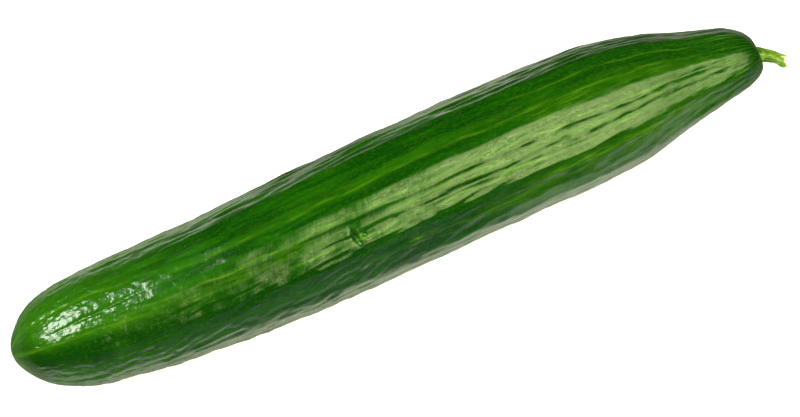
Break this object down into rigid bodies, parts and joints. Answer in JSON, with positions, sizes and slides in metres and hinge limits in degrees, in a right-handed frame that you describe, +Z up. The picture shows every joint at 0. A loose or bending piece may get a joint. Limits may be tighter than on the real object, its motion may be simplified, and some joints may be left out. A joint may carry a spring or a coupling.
{
  "type": "cucumber",
  "caption": "Long ribbed salad cucumber as picked, tapering to a neck with a torn stub of stem, lying on its belly.",
  "frame": {"origin": "middle of the underside, on the surface the cucumber lies on", "axes": "+X along the fruit from the blossom end to the stem, +Z up"},
  "size_m": [0.3097, 0.0544, 0.0513],
  "materials": {
    "skin": "satin",
    "stem": "matte"
  },
  "bodies": {
    "root": {"fruit": "skin", "stem": "stem"}
  },
  "joints": []
}
